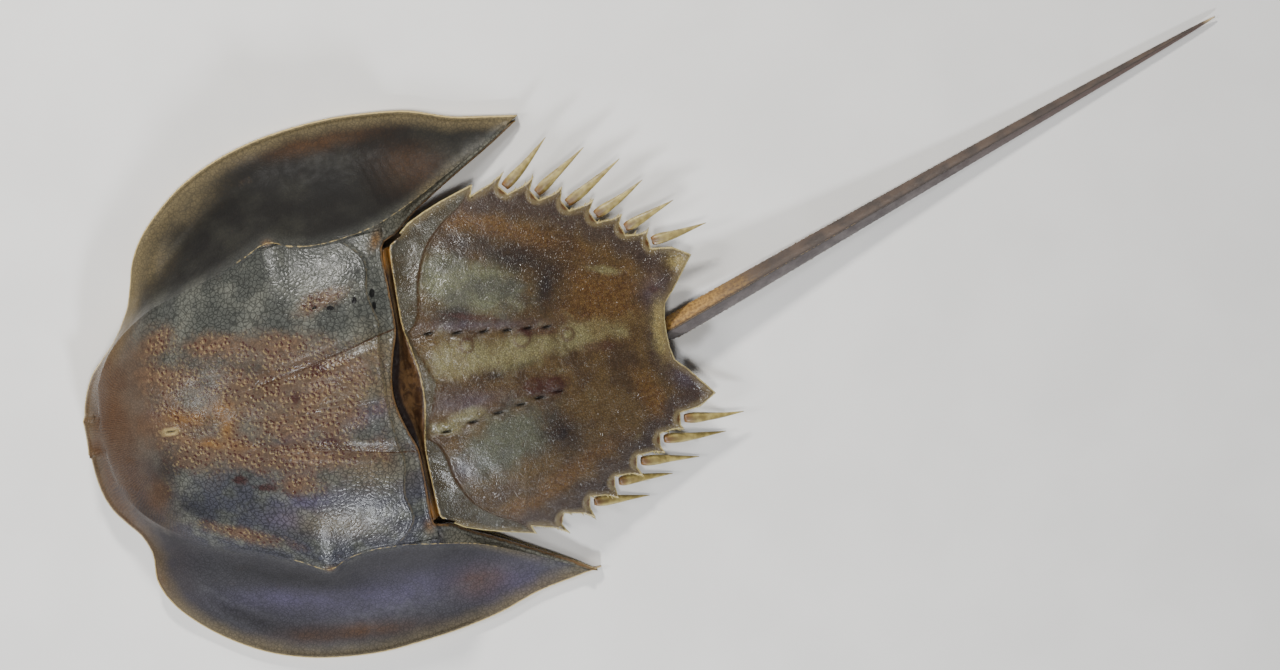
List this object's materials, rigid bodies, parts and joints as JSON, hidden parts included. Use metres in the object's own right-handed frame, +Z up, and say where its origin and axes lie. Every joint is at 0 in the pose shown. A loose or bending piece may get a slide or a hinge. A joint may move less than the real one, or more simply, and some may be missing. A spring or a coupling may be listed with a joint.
{
  "type": "horseshoe crab shell",
  "caption": "Dried hollow shell of a horseshoe crab, with a domed front shield, a toothed rear shield, movable side spines and a long tail spine turned to one side.",
  "frame": {"origin": "centre of the whole shell's box, on the plane it stands on", "axes": "+X towards the tail, +Y towards the crab's right side, +Z up"},
  "size_m": [0.396, 0.1802, 0.048],
  "materials": {
    "front_shield": "glossy, mottled",
    "rear_shield": "glossy, mottled",
    "membrane": "satin",
    "tail": "satin",
    "spine": "satin"
  },
  "bodies": {
    "root": {"prosoma": "front_shield", "opisthosoma": "rear_shield", "hinge_membrane": "membrane", "telson": "tail", "right_spine_1": "spine", "right_spine_2": "spine", "right_spine_3": "spine", "right_spine_4": "spine", "right_spine_5": "spine", "right_spine_6": "spine", "left_spine_2": "spine", "left_spine_3": "spine", "left_spine_4": "spine", "left_spine_5": "spine", "left_spine_6": "spine"}
  },
  "joints": []
}
